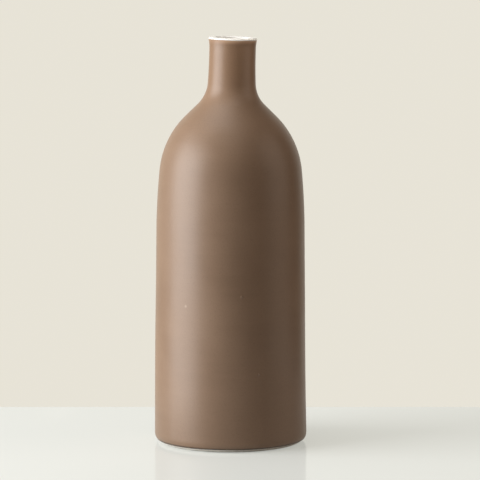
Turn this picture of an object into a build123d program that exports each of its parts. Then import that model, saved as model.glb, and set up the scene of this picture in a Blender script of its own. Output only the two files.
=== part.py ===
from build123d import *
import os
from math import asin, cos, degrees, radians, sin

# Bottle vase: a stoneware bottle with a satin brown glaze outside and a white gloss glaze inside.
# The two glazes meet on the lip, and the foot is left bare. It stands on z = 0, on the Z axis.
# Lengths are in millimetres and angles in degrees.

# Overall sizes, measured over the glaze
total_height = 305.0
body_radius = 57.25
neck_radius = 17.35

# Outline over the glaze, from the foot up. A lean is an angle from vertical, towards the axis.
foot_edge_radius = 7.5
wall_lean = 0.63
lower_shoulder_radius = 570.0
lower_shoulder_lean = 5.2
slope_lean = 45.6
slope_length = 12.5
neck_hollow_radius = 24.0
neck_taper_radius = 360.0
neck_taper_lean = 3.3
neck_length = 6.2
lip_flare_radius = 24.3
lip_flare_lean = 14.4
lip_edge_radius = 1.3

# Thickness of the clay, and of each glaze on it
clay_wall = 3.6
base_thickness = 5.0
outer_glaze_thickness = 0.4
inner_glaze_thickness = 0.4
underside_glaze_thickness = 0.4

# Floor, bare foot and the recess under the base
floor_corner_radius = 8.0
bare_foot_height = 2.2
foot_ring_width = 6.0
foot_ring_edge_radius = 0.6
recess_depth = 3.0
recess_corner_radius = 1.2

quarter_turn = 90.0
up = Vector(0, 1)
down = Vector(0, -1)
away = Vector(1, 0)


def leaning(lean):
    """The unit direction of a line that rises and leans towards the axis."""
    return Vector(-sin(radians(lean)), cos(radians(lean)))


def outward(lean):
    """The unit normal of a wall that leans towards the axis, pointing away from the vase."""
    return Vector(cos(radians(lean)), sin(radians(lean)))


def cross(first, second):
    """The signed area between two vectors of the profile plane."""
    return first.X * second.Y - first.Y * second.X


# The skins of the wall, each inset square to the outside of the glaze
clay_outside = outer_glaze_thickness
clay_inside = clay_outside + clay_wall
lining_inside = clay_inside + inner_glaze_thickness

# Centres of the foot's and the lip's outer roundings. The clay of the foot rests on the table.
foot_centre = Vector(body_radius - foot_edge_radius, foot_edge_radius - clay_outside)
flare_start = Vector(neck_radius + lip_flare_radius, 0)
lip_start_radius = (flare_start - outward(-lip_flare_lean) * lip_flare_radius).X
lip_centre = Vector(
    lip_start_radius - lip_edge_radius * cos(radians(lip_flare_lean)), total_height - lip_edge_radius
)
bare_foot_angle = degrees(asin((bare_foot_height - foot_centre.Y) / foot_edge_radius))

# Foot of the straight neck, found down from the lip
lip_start_height = lip_centre.Y - lip_edge_radius * sin(radians(lip_flare_lean))
neck_foot_height = lip_start_height - lip_flare_radius * sin(radians(lip_flare_lean)) - neck_length
neck_foot = Vector(neck_radius, neck_foot_height)

# The wall's length and the upper shoulder's radius close the outline between the foot and the neck
wall_foot = foot_centre + outward(wall_lean) * foot_edge_radius
lower_shoulder = (outward(lower_shoulder_lean) - outward(wall_lean)) * lower_shoulder_radius
slope = leaning(slope_lean) * slope_length
neck_hollow = (outward(slope_lean) - outward(neck_taper_lean)) * neck_hollow_radius
neck_taper = (outward(neck_taper_lean) - away) * neck_taper_radius
left_to_close = neck_foot - wall_foot - lower_shoulder - slope - neck_hollow - neck_taper
shoulder_turn = outward(slope_lean) - outward(lower_shoulder_lean)
wall_way = leaning(wall_lean)
wall_length = cross(left_to_close, shoulder_turn) / cross(wall_way, shoulder_turn)
upper_shoulder_radius = cross(wall_way, left_to_close) / cross(wall_way, shoulder_turn)

# The foot ring and the recess inside it
ring_inner_radius = foot_centre.X - foot_ring_width
recess_flat_radius = ring_inner_radius - recess_corner_radius


def wall_top(inset):
    """The top of the straight wall, on the skin at this inset."""
    return foot_centre + outward(wall_lean) * (foot_edge_radius - inset) + wall_way * wall_length


def draw_shoulder(inset):
    """Draws a skin from the top of the wall to the foot of the straight neck, and returns its end."""
    lower_turn = lower_shoulder_lean - wall_lean
    upper_turn = slope_lean - lower_shoulder_lean
    lower = JernArc(wall_top(inset), wall_way, lower_shoulder_radius - inset, lower_turn)
    upper = JernArc(lower @ 1, lower % 1, upper_shoulder_radius - inset, upper_turn)
    slope_line = Line(upper @ 1, upper @ 1 + (upper % 1) * slope_length)
    hollow_turn = neck_taper_lean - slope_lean
    hollow = JernArc(slope_line @ 1, slope_line % 1, neck_hollow_radius + inset, hollow_turn)
    taper = JernArc(hollow @ 1, hollow % 1, neck_taper_radius + inset, -neck_taper_lean)
    return taper @ 1


def draw_outside(inset, start_angle):
    """Draws an outer skin from an angle on the foot's rounding up to the lip, and returns its ends."""
    foot = CenterArc(foot_centre, foot_edge_radius - inset, start_angle, wall_lean - start_angle)
    Line(foot @ 1, wall_top(inset))
    shoulder_end = draw_shoulder(inset)
    neck = Line(shoulder_end, shoulder_end + up * neck_length)
    flare = JernArc(neck @ 1, up, lip_flare_radius + inset, -lip_flare_lean)
    return foot @ 0, flare @ 1


def draw_lip_edge(inset):
    """Draws the lip's outer rounding from the flare to the level top, and returns its ends."""
    turn = quarter_turn + lip_flare_lean
    edge = CenterArc(lip_centre, lip_edge_radius - inset, -lip_flare_lean, turn)
    return edge @ 0, edge @ 1


def draw_inside(inset):
    """Draws an inner skin from the middle of the floor to the lip's level top, and returns its ends."""
    depth_on_clay = inset - clay_inside
    floor_height = recess_depth + base_thickness + depth_on_clay
    corner_radius = floor_corner_radius - depth_on_clay
    edge_radius = lip_edge_radius - (lining_inside - inset)
    corner_height = floor_height + corner_radius
    wall_reach = foot_edge_radius - inset - corner_radius
    leaned_in = (corner_height - foot_centre.Y) * sin(radians(wall_lean))
    flat_radius = foot_centre.X + (wall_reach - leaned_in) / cos(radians(wall_lean))
    floor = Line((0, floor_height), (flat_radius, floor_height))
    corner = JernArc(floor @ 1, away, corner_radius, quarter_turn + wall_lean)
    Line(corner @ 1, wall_top(inset))
    shoulder_end = draw_shoulder(inset)
    neck = Line(shoulder_end, (shoulder_end.X, lip_centre.Y))
    edge = JernArc(neck @ 1, up, edge_radius, -quarter_turn)
    return floor @ 0, edge @ 1


def draw_recess(depth_on_clay):
    """Draws the recess's ceiling and rounded corner from the axis outwards, and returns its ends."""
    height = recess_depth - depth_on_clay
    ceiling = Line((0, height), (recess_flat_radius, height))
    corner = JernArc(ceiling @ 1, away, recess_corner_radius - depth_on_clay, -quarter_turn)
    return ceiling @ 0, corner @ 1


# The stoneware bottle, with a bare foot ring around a shallow recess
with BuildPart() as clay_body:
    with BuildSketch(Plane.XZ):
        with BuildLine():
            foot_start = draw_outside(clay_outside, -quarter_turn)[0]
            lip_outer_top = draw_lip_edge(clay_outside)[1]
            floor_middle, lip_inner_top = draw_inside(clay_inside)
            Line(lip_outer_top, lip_inner_top)
            recess_middle, recess_end = draw_recess(0)
            Line(floor_middle, recess_middle)
            ring_wall = Line(recess_end, (ring_inner_radius, foot_ring_edge_radius))
            ring_edge = JernArc(ring_wall @ 1, down, foot_ring_edge_radius, quarter_turn)
            Line(ring_edge @ 1, foot_start)
        make_face()
    revolve(axis=Axis.Z)
clay_body.part.label = "clay_body"

# The brown glaze outside, from above the bare foot to the start of the lip's rounding
with BuildPart() as outer_glaze:
    with BuildSketch(Plane.XZ):
        with BuildLine():
            outer_foot, outer_lip = draw_outside(0, bare_foot_angle)
            clay_foot, clay_lip = draw_outside(clay_outside, bare_foot_angle)
            Line(outer_foot, clay_foot)
            Line(outer_lip, clay_lip)
        make_face()
    revolve(axis=Axis.Z)
outer_glaze.part.label = "outer_glaze"

# The white glaze inside, which runs over the lip and meets the brown glaze edge to edge
with BuildPart() as inner_glaze:
    with BuildSketch(Plane.XZ):
        with BuildLine():
            glaze_start, glaze_outer_top = draw_lip_edge(0)
            clay_start, clay_outer_top = draw_lip_edge(clay_outside)
            glaze_floor, glaze_inner_top = draw_inside(lining_inside)
            clay_floor, clay_inner_top = draw_inside(clay_inside)
            Line(glaze_start, clay_start)
            Line(glaze_outer_top, glaze_inner_top)
            Line(clay_outer_top, clay_inner_top)
            Line(glaze_floor, clay_floor)
        make_face()
    revolve(axis=Axis.Z)
inner_glaze.part.label = "inner_glaze"

# The glaze in the recess under the base, which stays clear of the table
with BuildPart() as underside_glaze:
    with BuildSketch(Plane.XZ):
        with BuildLine():
            clay_middle, clay_end = draw_recess(0)
            glaze_middle, glaze_end = draw_recess(underside_glaze_thickness)
            Line(clay_middle, glaze_middle)
            Line(clay_end, glaze_end)
        make_face()
    revolve(axis=Axis.Z)
underside_glaze.part.label = "underside_glaze"

os.makedirs("parts", exist_ok=True)
export_step(clay_body.part, "parts/clay_body.step")
export_step(outer_glaze.part, "parts/outer_glaze.step")
export_step(inner_glaze.part, "parts/inner_glaze.step")
export_step(underside_glaze.part, "parts/underside_glaze.step")
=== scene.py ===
from itertools import accumulate
from math import asin, ceil, cos, degrees, exp, radians, sin, tan, tau

import bmesh
import bpy
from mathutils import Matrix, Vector, noise


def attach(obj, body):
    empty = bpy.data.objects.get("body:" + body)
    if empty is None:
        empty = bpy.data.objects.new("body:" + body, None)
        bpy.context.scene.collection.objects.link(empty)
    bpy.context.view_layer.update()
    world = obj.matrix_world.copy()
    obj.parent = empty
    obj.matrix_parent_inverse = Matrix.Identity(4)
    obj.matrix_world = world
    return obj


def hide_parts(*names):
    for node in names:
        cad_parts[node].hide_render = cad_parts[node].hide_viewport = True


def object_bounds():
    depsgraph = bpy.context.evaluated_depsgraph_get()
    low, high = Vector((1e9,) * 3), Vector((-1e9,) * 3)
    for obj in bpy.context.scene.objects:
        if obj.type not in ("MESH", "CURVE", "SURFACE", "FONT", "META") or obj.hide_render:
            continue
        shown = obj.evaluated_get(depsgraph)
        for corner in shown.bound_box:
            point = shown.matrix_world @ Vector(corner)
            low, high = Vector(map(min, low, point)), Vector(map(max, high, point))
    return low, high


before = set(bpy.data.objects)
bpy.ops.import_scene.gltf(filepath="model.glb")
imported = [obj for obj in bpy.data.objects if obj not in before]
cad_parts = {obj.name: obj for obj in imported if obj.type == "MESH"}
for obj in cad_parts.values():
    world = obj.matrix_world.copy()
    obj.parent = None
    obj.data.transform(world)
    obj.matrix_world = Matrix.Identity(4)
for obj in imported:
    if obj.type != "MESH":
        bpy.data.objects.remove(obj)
cad_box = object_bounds()

# Bottle vase: a stoneware bottle with a satin brown glaze outside and a white gloss glaze inside.
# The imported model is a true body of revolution. The skins made here follow its outline, with the
# small faults of a thrown and fired pot. Lengths are in metres and angles in degrees.

# Outline of the finished surface, from the foot up. A lean is an angle from vertical, towards the axis.
total_height = cad_box[1].z
body_radius = cad_box[1].x
neck_radius = 0.01735
foot_edge_radius = 0.0075
wall_lean = 0.63
lower_shoulder_radius = 0.57
lower_shoulder_lean = 5.2
slope_lean = 45.6
slope_length = 0.0125
neck_hollow_radius = 0.024
neck_taper_radius = 0.36
neck_taper_lean = 3.3
neck_length = 0.0062
lip_flare_radius = 0.0243
lip_flare_lean = 14.4
lip_edge_radius = 0.0013
wall_thickness = 0.0044
quarter_turn = 90.0

# Glaze, floor and foot
glaze_thickness = 0.0004
glaze_bite = 0.00003
floor_height = 0.0084
floor_corner_radius = 0.0076
bare_foot_height = 0.0022
foot_ring_width = 0.006
foot_ring_edge_radius = 0.0006
recess_depth = 0.003
recess_corner_radius = 0.0012

# Edges of the glazes: a round nose and a bead above the bare foot, and a fine groove along the lip.
# Both lines wander a little, and a tilt sets a line higher on the right, or lower where it is negative.
nose_width = 0.0005
bead_height = 0.00007
bead_rise = 0.0013
bead_width = 0.0011
groove_depth = 0.00012
groove_width = 0.0003
edge_wander = 0.00025
edge_wander_waves = 2.2
edge_wander_reach = 0.006
foot_line_tilt = 0.0002
lip_line_tilt = -0.0003

# What the wheel and the kiln left: a neck set to the right and leaning that way, a lip that tilts with it
# and sits a little low, a body that bows to the left low down, an oval and lumpy girth, and throwing rings
neck_tilt = 1.36
neck_tilt_start = 0.243
neck_tilt_bend = 0.01
lip_tilt_start = 0.272
lip_tilt_end = 0.295
lip_sag = 0.0002
neck_offset = 0.0003
neck_offset_start = 0.256
neck_offset_end = 0.272
bow_depth = 0.0004
bow_height = 0.08
bow_reach = 0.065
oval_depth = 0.00008
oval_turn = 35.0
lump_depth = 0.00022
lump_length = 0.07
ring_depth = 0.00003
ring_spacing = 0.0065
still_radius = 0.012

# How finely the skins are divided, and the radius below which a ring closes to a point
segments = 240
fine_step = 0.0014
coarse_step = 0.004
least_arc_steps = 8
edge_steps = 6
pole_radius = 0.00003

# Shares of a skin's map that its shown and its hidden side take
shown_shares = (0.08, 0.99)
hidden_shares = (0.01, 0.06)
around_shares = (0.005, 0.995)

# Levels between which soft noise turns from one tone to another, and its detail in clouds and in grain
cloud_shares = (0.3, 0.7)
cloud_detail = 3.0
grain_detail = 2.0

# Brown glaze: clouds, level streaks from the wheel, grain and iron specks
brown_dark = (0.232, 0.15, 0.098, 1)
brown_light = (0.26, 0.17, 0.112, 1)
brown_cloud_size = 0.05
brown_roughness = (0.37, 0.43)
brown_ior = 1.42
brown_streak = (0.28, 0.184, 0.122, 1)
brown_streak_size = 0.0045
brown_streak_stretch_shares = (0.12, 0.12, 1.0)
brown_streak_level_shares = (0.35, 0.75)
brown_streak_share = 0.2
brown_streak_relief_share = 0.6
brown_grain = (0.2, 0.128, 0.083, 1)
brown_grain_size = 0.0011
brown_grain_level_shares = (0.45, 0.75)
brown_grain_share = 0.3
brown_relief_depth = 0.00004
brown_iron = (0.08, 0.045, 0.025, 1)
brown_iron_spacing = 0.0042
brown_iron_radius = 0.0004
brown_iron_cell_share = 0.3
brown_iron_share = 0.45

# Where the brown glaze differs: warmer on the neck, dark just above the bare foot, and pale just below the
# lip's top, where the glaze is thin, with painted light that makes that band paler towards the right
neck_brown = (0.258, 0.159, 0.098, 1)
neck_brown_start = 0.25
neck_brown_end = 0.28
# Darker just above the bare foot
foot_edge_dark_brown = (0.06, 0.034, 0.02, 1)
foot_edge_dark_start = 0.002
foot_edge_dark_full = 0.0006
foot_edge_dark_share = 0.9
# Painted light: the pale band of thin glaze below the lip is made paler towards the right
thin_and_lit_brown = (0.6, 0.39, 0.255, 1)
thin_start = 0.0052
thin_full = 0.0016
lit_ramp_left = -0.015
lit_ramp_right = 0.005
lit_ramp_shares = (0.2, 1.0)

# A pale speck and two pimples in the brown glaze, each at a turn about the axis and a height
pale_brown = (0.4, 0.29, 0.21, 1)
pale_speck = (-125.8, 0.1086)
pale_speck_radius = 0.0016
pimple_spots = ((-81.0, 0.1168), (-68.4, 0.0583))
pimple_radius = 0.0015
pimple_relief = 12.0

# White glaze
white_dark = (0.85, 0.84, 0.8, 1)
white_light = (0.88, 0.87, 0.84, 1)
white_cloud_size = 0.018
white_roughness = (0.12, 0.2)
white_peel_size = 0.0016
white_peel_depth = 0.00003
white_iron = (0.4, 0.33, 0.25, 1)
white_iron_spacing = 0.006
white_iron_radius = 0.00025
white_iron_cell_share = 0.15
white_iron_share = 0.4

# Bare clay
clay_dark = (0.85, 0.81, 0.73, 1)
clay_light = (0.9, 0.86, 0.79, 1)
clay_cloud_size = 0.012
clay_roughness = (0.82, 0.95)
clay_grain = (0.7, 0.63, 0.53, 1)
clay_grain_size = 0.0005
clay_grain_depth = 0.00012
clay_grain_level_shares = (0.5, 0.75)
clay_grain_share = 0.4
clay_iron = (0.2, 0.13, 0.08, 1)
clay_iron_spacing = 0.0024
clay_iron_radius = 0.00025
clay_iron_cell_share = 0.3
clay_iron_share = 0.5
clay_soil = (0.5, 0.45, 0.38, 1)
clay_soil_height = 0.0005
clay_soil_share = 0.2

# Table. To the eye it shows its full colour and some glow. To light that spreads it is darker, and less so
# in a ring close to the foot.
table_size = Vector((0.9, 0.65, 0.03))
table_middle = Vector((0.2, -0.174, -0.015))
table_edge_radius = 0.002
table_edge_steps = 4
table_colour = (0.82, 0.84, 0.83, 1)
table_roughness = 0.08
table_ior = 1.25
table_glow = (0.93, 0.95, 0.88, 1)
table_glow_share = 0.4
table_bounce = (0.22, 0.21, 0.195, 1)
bounce_near = 0.058
bounce_far = 0.085
bounce_near_share = 0.5
level_shares = (1.0, 1.0, 0.0)

# Room: dim but for the wall behind the vase, and all as pale as the wall to the camera
wall_colour = (0.803, 0.769, 0.678, 1)
room_level = 0.04
wall_level = 1.0
wall_edge_shares = (0.55, 0.95)

# Lamps: a wide key on the left, a warm fill on the right, one above, a small one for the neck and a narrow
# beam for the lip. All but the beam face the same point inside the vase.
lamp_aim = Vector((0, 0, 0.16))
key_place = Vector((-1.495, -0.4, 0.44))
key_width = 1.4
key_height = 1.45
key_power = 51.0
key_colour = (1.0, 1.0, 1.0)
fill_place = Vector((1.5, -0.28, 0.64))
fill_width = 1.2
fill_height = 1.6
fill_power = 8.6
fill_colour = (1.0, 0.84, 0.7)
top_lamp_place = Vector((-0.39, 0.0, 1.61))
top_lamp_size = 0.9
top_lamp_power = 6.6
top_lamp_colour = (1.0, 1.0, 1.0)
neck_lamp_place = Vector((-0.03, -0.3, 0.68))
neck_lamp_size = 0.35
neck_lamp_power = 0.33
neck_lamp_colour = (1.0, 0.85, 0.7)
lip_lamp_aim = Vector((0.008, -0.01, total_height))
lip_lamp_place = Vector((0.129, -0.154, 0.658))
lip_lamp_size = 0.02
lip_lamp_beam = 7.5
lip_lamp_power = 3.6
lip_lamp_colour = (1.0, 0.95, 0.88)
spot_blend_share = 1.0

# Camera, fitted to the photograph's frame
photo_size = 480
focal_pixels = 3305
axis_pixel = 230.65
camera_distance = 2.465
camera_height = 0.447
camera_pitch = 6.812


def leaning(lean):
    """The unit direction of a line that rises and leans towards the axis, as radius and height."""
    return Vector((-sin(radians(lean)), cos(radians(lean))))


def outward(lean):
    """The unit normal of a wall that leans towards the axis."""
    return Vector((cos(radians(lean)), sin(radians(lean))))


class Outline:
    """A line of straight runs and tangent arcs in the plane of radius and height."""

    def __init__(self, start, lean):
        self.runs = []
        self.length = 0.0
        self.end = Vector(start)
        self.lean = lean

    def run(self, length, turn=0.0):
        """Adds a stretch that turns evenly by this angle."""
        self.runs.append((self.length, length, self.end, self.lean, turn))
        self.end = self.on_run(self.runs[-1], length)
        self.lean += turn
        self.length += length

    def arc(self, radius, turn):
        """Adds an arc of this radius."""
        self.run(radius * radians(abs(turn)), turn)

    def on_run(self, run, along):
        """The point this far along a run."""
        begin, length, start, lean, turn = run
        half_turn = turn * along / length / 2
        chord = along * sin(radians(half_turn)) / radians(half_turn) if half_turn else along
        return start + leaning(lean + half_turn) * chord

    def at(self, place, depth):
        """The point at this length along the line, moved this deep under the surface."""
        run = next((r for r in self.runs if place <= r[0] + r[1]), self.runs[-1])
        begin, length, start, lean, turn = run
        along = min(max(place - begin, 0), length)
        return self.on_run(run, along) - outward(lean + turn * along / length) * depth

    def places(self, begin, end, step):
        """Lengths along the line from begin to end, with each run in even steps."""
        found = [begin]
        for start, length, point, lean, turn in self.runs:
            low = max(begin, start)
            high = min(end, start + length)
            if high > low:
                count = max(ceil((high - low) / step), least_arc_steps if turn else 1)
                found += [low + (high - low) * (i + 1) / count for i in range(count)]
        return found


def trace_surface():
    """The finished surface from the foot's contact over the lip to the middle of the floor inside."""
    centre = Vector((body_radius - foot_edge_radius, foot_edge_radius - glaze_thickness))
    flare_out = lip_flare_radius * (1 - cos(radians(lip_flare_lean)))
    lip_edge_in = lip_edge_radius * cos(radians(lip_flare_lean))
    lip_radius = neck_radius + flare_out - lip_edge_in
    lip_height = total_height - lip_edge_radius
    flare_rise = (lip_flare_radius + lip_edge_radius) * sin(radians(lip_flare_lean))
    neck_foot = Vector((neck_radius, lip_height - flare_rise - neck_length))
    bore_radius = neck_radius - wall_thickness

    # The wall's length and the upper shoulder's radius close the outline between foot and neck
    lower_shoulder = (outward(lower_shoulder_lean) - outward(wall_lean)) * lower_shoulder_radius
    slope = leaning(slope_lean) * slope_length
    neck_hollow = (outward(slope_lean) - outward(neck_taper_lean)) * neck_hollow_radius
    neck_taper = (outward(neck_taper_lean) - outward(0)) * neck_taper_radius
    wall_foot = centre + outward(wall_lean) * foot_edge_radius
    left_to_close = neck_foot - wall_foot - lower_shoulder - slope - neck_hollow - neck_taper
    shoulder_turn = outward(slope_lean) - outward(lower_shoulder_lean)
    wall_way = leaning(wall_lean)
    wall_length = left_to_close.cross(shoulder_turn) / wall_way.cross(shoulder_turn)
    upper_shoulder_radius = wall_way.cross(left_to_close) / wall_way.cross(shoulder_turn)

    line = Outline(centre - Vector((0, foot_edge_radius)), -quarter_turn)
    line.arc(foot_edge_radius, quarter_turn + wall_lean)
    line.run(wall_length)
    line.arc(lower_shoulder_radius, lower_shoulder_lean - wall_lean)
    line.arc(upper_shoulder_radius, slope_lean - lower_shoulder_lean)
    line.run(slope_length)
    line.arc(neck_hollow_radius, neck_taper_lean - slope_lean)
    line.arc(neck_taper_radius, -neck_taper_lean)
    line.run(neck_length)
    line.arc(lip_flare_radius, -lip_flare_lean)
    lip_line = line.length
    line.arc(lip_edge_radius, quarter_turn + lip_flare_lean)
    line.run(lip_radius - lip_edge_radius - bore_radius)
    line.arc(lip_edge_radius, quarter_turn)
    line.run(line.end.y - neck_foot.y)
    line.arc(neck_taper_radius + wall_thickness, neck_taper_lean)
    line.arc(neck_hollow_radius + wall_thickness, slope_lean - neck_taper_lean)
    line.run(slope_length)
    line.arc(upper_shoulder_radius - wall_thickness, lower_shoulder_lean - slope_lean)
    line.arc(lower_shoulder_radius - wall_thickness, wall_lean - lower_shoulder_lean)
    corner_top = floor_height + floor_corner_radius * (1 + sin(radians(wall_lean)))
    line.run((line.end.y - corner_top) / cos(radians(wall_lean)))
    line.arc(floor_corner_radius, -quarter_turn - wall_lean)
    line.run(line.end.x)

    bare_turn = quarter_turn + degrees(asin((bare_foot_height - centre.y) / foot_edge_radius))
    return line, foot_edge_radius * radians(bare_turn), lip_line


def trace_underside():
    """The clay under the base, from the axis out to the foot's contact; returns where its recess ends too."""
    contact_radius = body_radius - foot_edge_radius
    ring_inner_radius = contact_radius - foot_ring_width
    line = Outline((0, recess_depth), -quarter_turn)
    line.run(ring_inner_radius - recess_corner_radius)
    line.arc(recess_corner_radius, -quarter_turn)
    recess_end = line.length
    line.run(recess_depth - recess_corner_radius - foot_ring_edge_radius)
    line.arc(foot_ring_edge_radius, quarter_turn)
    line.run(contact_radius - line.end.x)
    return line, recess_end


surface, foot_line, lip_line = trace_surface()
underside, recess_end = trace_underside()


def soft_step(value, low, high):
    """0 below low and 1 above high, with a soft rise between."""
    share = min(max((value - low) / (high - low), 0), 1)
    return share * share * (3 - 2 * share)


def sway(height):
    """How far the pot stands to the right of its axis at this height."""
    rise = max(height - neck_tilt_start, 0)
    bent = min(rise, neck_tilt_bend)
    leaned = tan(radians(neck_tilt)) * (bent * bent / neck_tilt_bend / 2 + rise - bent)
    moved = neck_offset * soft_step(height, neck_offset_start, neck_offset_end)
    off = (height - bow_height) / bow_reach
    return leaned + moved - bow_depth * exp(-off * off)


def settle(point, turn):
    """Where a point of the true outline lies on the pot, at this turn about the axis."""
    radius, height = point
    around = Vector((cos(turn), sin(turn), 0))
    girth = around * body_radius / lump_length + Vector((0, 0, height / lump_length))
    swell = lump_depth * noise.noise(girth)
    swell += oval_depth * cos(2 * (turn - radians(oval_turn)))
    swell += ring_depth * noise.noise(Vector((0, 0, height / ring_spacing)))
    settled = around * (radius + swell * min(radius / still_radius, 1))
    tilted = soft_step(height, lip_tilt_start, lip_tilt_end)
    settled.z = height - tilted * (tan(radians(neck_tilt)) * settled.x + lip_sag)
    settled.x += sway(height)
    return settled


def wander(place, turn):
    """A place on the surface, moved as the uneven glaze lines near it move."""
    moved = place
    for line, tilt in ((foot_line, foot_line_tilt), (lip_line, lip_line_tilt)):
        near = max(1 - abs(place - line) / edge_wander_reach, 0)
        if near:
            way = Vector((cos(turn), sin(turn), line)) * edge_wander_waves
            moved += (edge_wander * noise.noise(way) + tilt * cos(turn)) * near * near
    return moved


def bead(place):
    """The height of the thick bead that the glaze ends in above the bare foot."""
    off = (place - foot_line - bead_rise) / bead_width
    return bead_height * exp(-off * off)


def nose_rows(begin, way, width, depth):
    """Rows of place and depth that round a glaze's edge, from the edge on."""
    turns = [radians(quarter_turn) * i / edge_steps for i in range(edge_steps)]
    return [(begin + way * width * (1 - cos(t)), depth * (1 - sin(t))) for t in turns]


def flat_rows(outline, begin, end, step, depth=0.0):
    """Rows of place and depth along a stretch of an outline, at one depth."""
    return [(place, depth) for place in outline.places(begin, end, step)]


def map_levels(outline, rows, shares):
    """Levels of rows on a skin's map, as far apart as the rows are."""
    points = [outline.at(place, depth) for place, depth in rows]
    steps = [(after - before).length for before, after in zip(points, points[1:])]
    lengths = list(accumulate(steps, initial=0.0))
    low, high = shares
    return [low + (high - low) * length / lengths[-1] for length in lengths]


def lathe(name, sides, joined):
    """A mesh turned about the axis from sides, each an outline, its rows and its shares of the map.

    The sides run on from each other, and joined closes the last one to the first.
    """
    vertices, rings, levels = [], [], []
    for outline, rows, shares in sides:
        levels += map_levels(outline, rows, shares)
        for place, depth in rows:
            pole = outline.at(place, depth).x < pole_radius
            rings.append((len(vertices), pole))
            for j in range(1 if pole else segments):
                turn = tau * j / segments
                spot = wander(place, turn) if outline is surface else place
                vertices.append(settle(outline.at(spot, depth), turn))
    low, high = around_shares
    seams = [low + (high - low) * j / segments for j in range(segments + 1)]
    faces, corners = [], []
    for i in range(len(rings) if joined else len(rings) - 1):
        after = (i + 1) % len(rings)
        (this, this_pole), (that, that_pole) = rings[i], rings[after]
        if this_pole and that_pole:
            continue
        for j in range(segments):
            k = (j + 1) % segments
            left, right = seams[j:j + 2]
            face = [(this + j, left, levels[i]), (this + k, right, levels[i]),
                    (that + k, right, levels[after]), (that + j, left, levels[after])]
            if this_pole:
                face = [(this, (left + right) / 2, levels[i])] + face[2:]
            if that_pole:
                face = face[:2] + [(that, (left + right) / 2, levels[after])]
            faces.append([corner[0] for corner in face])
            corners += [value for corner in face for value in corner[1:]]
    mesh = bpy.data.meshes.new(name)
    mesh.from_pydata(vertices, [], faces)
    mesh.uv_layers.new(name="OFBake").data.foreach_set("uv", corners)
    mesh.polygons.foreach_set("use_smooth", [True] * len(faces))
    mesh.validate()
    return mesh


def add_piece(name, sides, joined, node, material):
    """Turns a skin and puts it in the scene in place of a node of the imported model."""
    mesh = lathe(name, sides, joined)
    mesh.materials.append(material)
    piece = bpy.data.objects.new(name, mesh)
    bpy.context.scene.collection.objects.link(piece)
    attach(piece, "root")
    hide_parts(node)


def make_outer_glaze(material):
    """The brown glaze, from its bead above the bare foot to the groove on the lip."""
    back = glaze_thickness + glaze_bite
    front = nose_rows(foot_line, 1, nose_width, glaze_thickness)
    body = flat_rows(surface, foot_line + nose_width, lip_line - groove_width, fine_step)
    front += [(place, -bead(place)) for place, depth in body]
    front += nose_rows(lip_line, -1, groove_width, groove_depth)[::-1]
    hidden = flat_rows(surface, foot_line, lip_line, coarse_step, back)[::-1]
    sides = [(surface, front, shown_shares), (surface, hidden, hidden_shares)]
    add_piece("outer_glaze_coat", sides, True, "outer_glaze", material)


def make_inner_glaze(material):
    """The white glaze, from the groove over the lip to the middle of the floor."""
    back = glaze_thickness + glaze_bite
    front = nose_rows(lip_line, 1, groove_width, groove_depth)
    front += flat_rows(surface, lip_line + groove_width, surface.length, fine_step)
    hidden = flat_rows(surface, lip_line, surface.length, coarse_step, back)[::-1]
    sides = [(surface, front, shown_shares), (surface, hidden, hidden_shares)]
    add_piece("inner_glaze_coat", sides, True, "inner_glaze", material)


def make_clay(material):
    """The stoneware, which shows at the foot and under the base."""
    under = flat_rows(underside, 0, underside.length, fine_step)
    foot = flat_rows(surface, 0, foot_line + nose_width, nose_width, glaze_thickness)[1:]
    hidden = flat_rows(surface, foot_line + nose_width, surface.length, coarse_step, glaze_thickness)[1:]
    shown_middle = sum(shown_shares) / 2
    sides = [(underside, under, (shown_shares[0], shown_middle)),
             (surface, foot, (shown_middle, shown_shares[1])),
             (surface, hidden, hidden_shares[::-1])]
    add_piece("clay_bottle", sides, False, "clay_body", material)


def make_underside_glaze(material):
    """The brown glaze in the recess under the base."""
    front = flat_rows(underside, 0, recess_end - nose_width, fine_step, -glaze_thickness)
    front += [(place, -glaze_thickness + depth)
              for place, depth in nose_rows(recess_end, -1, nose_width, glaze_thickness)[::-1]]
    hidden = flat_rows(underside, 0, recess_end, coarse_step, glaze_bite)[::-1]
    sides = [(underside, front, shown_shares), (underside, hidden, hidden_shares)]
    add_piece("underside_glaze_coat", sides, True, "underside_glaze", material)


def feed(tree, socket, value):
    """Links an output to a socket, or sets the socket to a plain value."""
    if isinstance(value, bpy.types.NodeSocket):
        tree.links.new(value, socket)
    else:
        socket.default_value = value


def add_node(tree, kind, inputs, **settings):
    """A shader node of this kind, with its settings made and its inputs fed."""
    made = tree.nodes.new("ShaderNode" + kind)
    for name, value in settings.items():
        setattr(made, name, value)
    for name, value in inputs.items():
        feed(tree, made.inputs[name], value)
    return made


def noise_of(tree, where, size, detail=grain_detail):
    """Soft noise around a half, with patches of about this size."""
    return add_node(tree, "TexNoise", {"Vector": where, "Scale": 1 / size, "Detail": detail}).outputs[0]


def remap(tree, value, low, high, to_low=0.0, to_high=1.0):
    """A value taken smoothly from one range to another, and held at its ends."""
    ends = {"Value": value, "From Min": low, "From Max": high, "To Min": to_low, "To Max": to_high}
    return add_node(tree, "MapRange", ends, interpolation_type="SMOOTHSTEP").outputs["Result"]


def math_of(tree, operation, first, second):
    """Two values joined by an operation."""
    return add_node(tree, "Math", {0: first, 1: second}, operation=operation).outputs[0]


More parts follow.
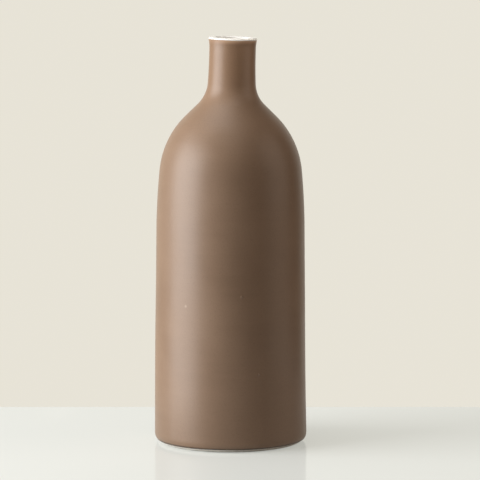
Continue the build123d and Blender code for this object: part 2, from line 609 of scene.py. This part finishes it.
def mix(tree, factor, first, second):
    """A colour between two, by a factor from 0 to 1."""
    made = add_node(tree, "Mix", {"Factor": factor}, data_type="RGBA")
    sockets = {socket.identifier: socket for socket in made.inputs}
    feed(tree, sockets["A_Color"], first)
    feed(tree, sockets["B_Color"], second)
    return next(socket for socket in made.outputs if socket.identifier == "Result_Color")


def coordinate(tree, where, axis):
    """One coordinate of a point or a direction, by the name of its axis."""
    return add_node(tree, "SeparateXYZ", {"Vector": where}).outputs[axis]


def specks(tree, where, spacing, radius, share):
    """Small round spots, one in some of the cells of this size: 1 on a spot and 0 off it."""
    cells = add_node(tree, "TexVoronoi", {"Vector": where, "Scale": 1 / spacing})
    spot = remap(tree, cells.outputs["Distance"], radius / spacing, 0.0)
    chosen = add_node(tree, "SeparateColor", {"Color": cells.outputs["Color"]}).outputs[0]
    return math_of(tree, "MULTIPLY", spot, math_of(tree, "LESS_THAN", chosen, share))


def round_spots(tree, where, spots, radius):
    """Round spots at given turns and heights on the body: 1 in a spot's middle and 0 off it."""
    found = 0.0
    places = surface.places(foot_line, lip_line, fine_step)
    for turn, height in spots:
        place = next(p for p in places if surface.at(p, 0).y >= height)
        middle = settle((surface.at(place, 0).x, height), radians(turn))
        away = add_node(tree, "VectorMath", {0: where, 1: middle}, operation="DISTANCE").outputs["Value"]
        found = math_of(tree, "ADD", found, remap(tree, away, radius, 0.0))
    return found


def stretched(tree, where, scale):
    """Coordinates scaled by a factor along each axis."""
    return add_node(tree, "Mapping", {"Vector": where, "Scale": scale}).outputs["Vector"]


def bump(tree, height, distance):
    """A normal that a height pattern of this depth has tilted."""
    return add_node(tree, "Bump", {"Height": height, "Distance": distance}).outputs["Normal"]


def new_material(name):
    """A material with its tree, its shader and the coordinates of the piece that wears it."""
    material = bpy.data.materials.new(name)
    material.use_nodes = True
    tree = material.node_tree
    where = add_node(tree, "TexCoord", {}).outputs["Object"]
    return material, tree, tree.nodes["Principled BSDF"], where


def even_brown(tree, where, patches, streaks, grain):
    """The brown of the glaze away from its edges: clouds, streaks, grain and iron specks."""
    tone = mix(tree, remap(tree, patches, *cloud_shares), brown_dark, brown_light)
    streaked = remap(tree, streaks, *brown_streak_level_shares, 0.0, brown_streak_share)
    tone = mix(tree, streaked, tone, brown_streak)
    on_neck = remap(tree, coordinate(tree, where, "Z"), neck_brown_start, neck_brown_end)
    tone = mix(tree, on_neck, tone, neck_brown)
    grained = remap(tree, grain, *brown_grain_level_shares, 0.0, brown_grain_share)
    tone = mix(tree, grained, tone, brown_grain)
    iron = specks(tree, where, brown_iron_spacing, brown_iron_radius, brown_iron_cell_share)
    return mix(tree, math_of(tree, "MULTIPLY", iron, brown_iron_share), tone, brown_iron)


def edged_brown(tree, where, tone):
    """That brown, dark just above the foot, pale where thin below the lip with painted light there on the
    right, and pale on a speck.
    """
    height = coordinate(tree, where, "Z")
    # Darker just above the bare foot
    thick = remap(tree, height, bare_foot_height + foot_edge_dark_start, bare_foot_height + foot_edge_dark_full)
    tone = mix(tree, math_of(tree, "MULTIPLY", thick, foot_edge_dark_share), tone, foot_edge_dark_brown)
    thin = remap(tree, height, total_height - thin_start, total_height - thin_full)
    # Painted light: the pale band below the lip's top is made paler towards the right, as if lit from there
    painted_light_rightward = remap(tree, coordinate(tree, where, "X"), lit_ramp_left, lit_ramp_right, *lit_ramp_shares)
    tone = mix(tree, math_of(tree, "MULTIPLY", thin, painted_light_rightward), tone, thin_and_lit_brown)
    return mix(tree, round_spots(tree, where, [pale_speck], pale_speck_radius), tone, pale_brown)


def brown_glaze():
    """Satin brown glaze: cloudy, faintly streaked and grainy, with iron specks and a few small faults."""
    material, tree, shader, where = new_material("brown_glaze")
    patches = noise_of(tree, where, brown_cloud_size, cloud_detail)
    grain = noise_of(tree, where, brown_grain_size)
    streaks = noise_of(tree, stretched(tree, where, brown_streak_stretch_shares), brown_streak_size)
    tone = even_brown(tree, where, patches, streaks, grain)
    feed(tree, shader.inputs["Base Color"], edged_brown(tree, where, tone))
    feed(tree, shader.inputs["Roughness"], remap(tree, patches, *cloud_shares, *brown_roughness))
    shader.inputs["IOR"].default_value = brown_ior
    relief = math_of(tree, "ADD", grain, math_of(tree, "MULTIPLY", streaks, brown_streak_relief_share))
    spots = round_spots(tree, where, pimple_spots, pimple_radius)
    relief = math_of(tree, "ADD", relief, math_of(tree, "MULTIPLY", spots, pimple_relief))
    feed(tree, shader.inputs["Normal"], bump(tree, relief, brown_relief_depth))
    return material


def white_glaze():
    """White gloss glaze: a little warm, with slow changes of tone, a few specks and a soft orange peel."""
    material, tree, shader, where = new_material("white_glaze")
    patches = noise_of(tree, where, white_cloud_size, cloud_detail)
    peel = noise_of(tree, where, white_peel_size)
    tone = mix(tree, remap(tree, patches, *cloud_shares), white_dark, white_light)
    iron = specks(tree, where, white_iron_spacing, white_iron_radius, white_iron_cell_share)
    tone = mix(tree, math_of(tree, "MULTIPLY", iron, white_iron_share), tone, white_iron)
    feed(tree, shader.inputs["Base Color"], tone)
    feed(tree, shader.inputs["Roughness"], remap(tree, patches, *cloud_shares, *white_roughness))
    feed(tree, shader.inputs["Normal"], bump(tree, peel, white_peel_depth))
    return material


def bare_clay():
    """Fired stoneware: matt, grainy and speckled, and soiled where it stands."""
    material, tree, shader, where = new_material("bare_clay")
    patches = noise_of(tree, where, clay_cloud_size, cloud_detail)
    grain = noise_of(tree, where, clay_grain_size)
    tone = mix(tree, remap(tree, patches, *cloud_shares), clay_dark, clay_light)
    grained = remap(tree, grain, *clay_grain_level_shares, 0.0, clay_grain_share)
    tone = mix(tree, grained, tone, clay_grain)
    iron = specks(tree, where, clay_iron_spacing, clay_iron_radius, clay_iron_cell_share)
    tone = mix(tree, math_of(tree, "MULTIPLY", iron, clay_iron_share), tone, clay_iron)
    soil = remap(tree, coordinate(tree, where, "Z"), clay_soil_height, 0.0)
    tone = mix(tree, math_of(tree, "MULTIPLY", soil, clay_soil_share), tone, clay_soil)
    feed(tree, shader.inputs["Base Color"], tone)
    feed(tree, shader.inputs["Roughness"], remap(tree, grain, *cloud_shares, *clay_roughness))
    feed(tree, shader.inputs["Normal"], bump(tree, grain, clay_grain_depth))
    return material


def seen(tree):
    """1 for what the camera sees, also in a reflection or through glass, and 0 for light that spreads."""
    path = add_node(tree, "LightPath", {}).outputs
    shiny = math_of(tree, "MAXIMUM", path["Is Glossy Ray"], path["Is Transmission Ray"])
    return math_of(tree, "MAXIMUM", path["Is Camera Ray"], shiny)


def pale_table():
    """A pale polished table, which spreads less light than it shows, but more of it close to the foot."""
    material, tree, shader, where = new_material("pale_table")
    shown = seen(tree)
    level_way = stretched(tree, where, level_shares)
    away = add_node(tree, "VectorMath", {0: level_way}, operation="LENGTH").outputs["Value"]
    near = remap(tree, away, bounce_far, bounce_near, 0.0, bounce_near_share)
    full = math_of(tree, "MAXIMUM", shown, near)
    feed(tree, shader.inputs["Base Color"], mix(tree, full, table_bounce, table_colour))
    shader.inputs["Roughness"].default_value = table_roughness
    shader.inputs["IOR"].default_value = table_ior
    glow = add_node(tree, "Emission", {"Color": table_glow}).outputs[0]
    glowing = math_of(tree, "MULTIPLY", shown, table_glow_share)
    covered = add_node(tree, "MixShader", {0: glowing, 1: shader.outputs[0], 2: glow}).outputs[0]
    feed(tree, tree.nodes["Material Output"].inputs["Surface"], covered)
    return material


def make_stage(material):
    """A table top with rounded edges, for the vase to stand on."""
    grid = bmesh.new()
    bmesh.ops.create_cube(grid, size=1.0)
    bmesh.ops.scale(grid, vec=table_size, verts=grid.verts)
    bmesh.ops.translate(grid, vec=table_middle, verts=grid.verts)
    bmesh.ops.bevel(grid, geom=grid.edges, offset=table_edge_radius, segments=table_edge_steps,
                    affect="EDGES")
    mesh = bpy.data.meshes.new("table")
    grid.to_mesh(mesh)
    table = bpy.data.objects.new("table", mesh)
    bpy.context.scene.collection.objects.link(table)
    mesh.materials.append(material)


def make_world():
    """A dim room with a pale wall behind the vase, all as pale as the wall to the camera."""
    world = bpy.data.worlds.new("room")
    world.use_nodes = True
    tree = world.node_tree
    way = add_node(tree, "TexCoord", {}).outputs["Generated"]
    back = coordinate(tree, way, "Y")
    level = remap(tree, back, *wall_edge_shares, room_level, wall_level)
    path = add_node(tree, "LightPath", {}).outputs["Is Camera Ray"]
    level = math_of(tree, "MAXIMUM", level, path)
    feed(tree, tree.nodes["Background"].inputs["Color"], wall_colour)
    feed(tree, tree.nodes["Background"].inputs["Strength"], level)
    bpy.context.scene.world = world


def hang_light(lamp, place, aim):
    """Puts a lamp in the scene, turned to its aim and out of the picture."""
    holder = bpy.data.objects.new(lamp.name, lamp)
    holder.visible_camera = False
    holder.location = place
    holder.rotation_euler = (aim - place).to_track_quat("-Z", "Y").to_euler()
    bpy.context.scene.collection.objects.link(holder)


def add_area_light(name, place, width, height, power, colour):
    """A soft rectangular lamp that faces the vase."""
    lamp = bpy.data.lights.new(name, "AREA")
    lamp.shape = "RECTANGLE"
    lamp.size = width
    lamp.size_y = height
    lamp.energy = power
    lamp.color = colour
    hang_light(lamp, place, lamp_aim)


def add_spot_light(name, place, aim, size, beam, power, colour):
    """A narrow lamp with a soft edge."""
    lamp = bpy.data.lights.new(name, "SPOT")
    lamp.shadow_soft_size = size
    lamp.spot_size = radians(beam)
    lamp.spot_blend = spot_blend_share
    lamp.energy = power
    lamp.color = colour
    hang_light(lamp, place, aim)


def make_camera():
    """The photograph's camera: in front of the vase, a little above it, with a long lens."""
    lens = bpy.data.cameras.new("camera")
    lens.lens = lens.sensor_width * focal_pixels / photo_size
    camera = bpy.data.objects.new("camera", lens)
    aside = (photo_size / 2 - axis_pixel) / focal_pixels * camera_distance
    camera.location = (aside, -camera_distance, camera_height)
    camera.rotation_euler = (radians(quarter_turn - camera_pitch), 0, 0)
    bpy.context.scene.collection.objects.link(camera)
    bpy.context.scene.camera = camera


brown = brown_glaze()
make_clay(bare_clay())
make_outer_glaze(brown)
make_inner_glaze(white_glaze())
make_underside_glaze(brown)
make_stage(pale_table())
make_world()
add_area_light("key", key_place, key_width, key_height, key_power, key_colour)
add_area_light("fill", fill_place, fill_width, fill_height, fill_power, fill_colour)
add_area_light("top", top_lamp_place, top_lamp_size, top_lamp_size, top_lamp_power, top_lamp_colour)
add_area_light("neck", neck_lamp_place, neck_lamp_size, neck_lamp_size, neck_lamp_power, neck_lamp_colour)
add_spot_light("lip", lip_lamp_place, lip_lamp_aim, lip_lamp_size, lip_lamp_beam,
               lip_lamp_power, lip_lamp_colour)
make_camera()
bpy.context.scene.view_settings.view_transform = "Standard"
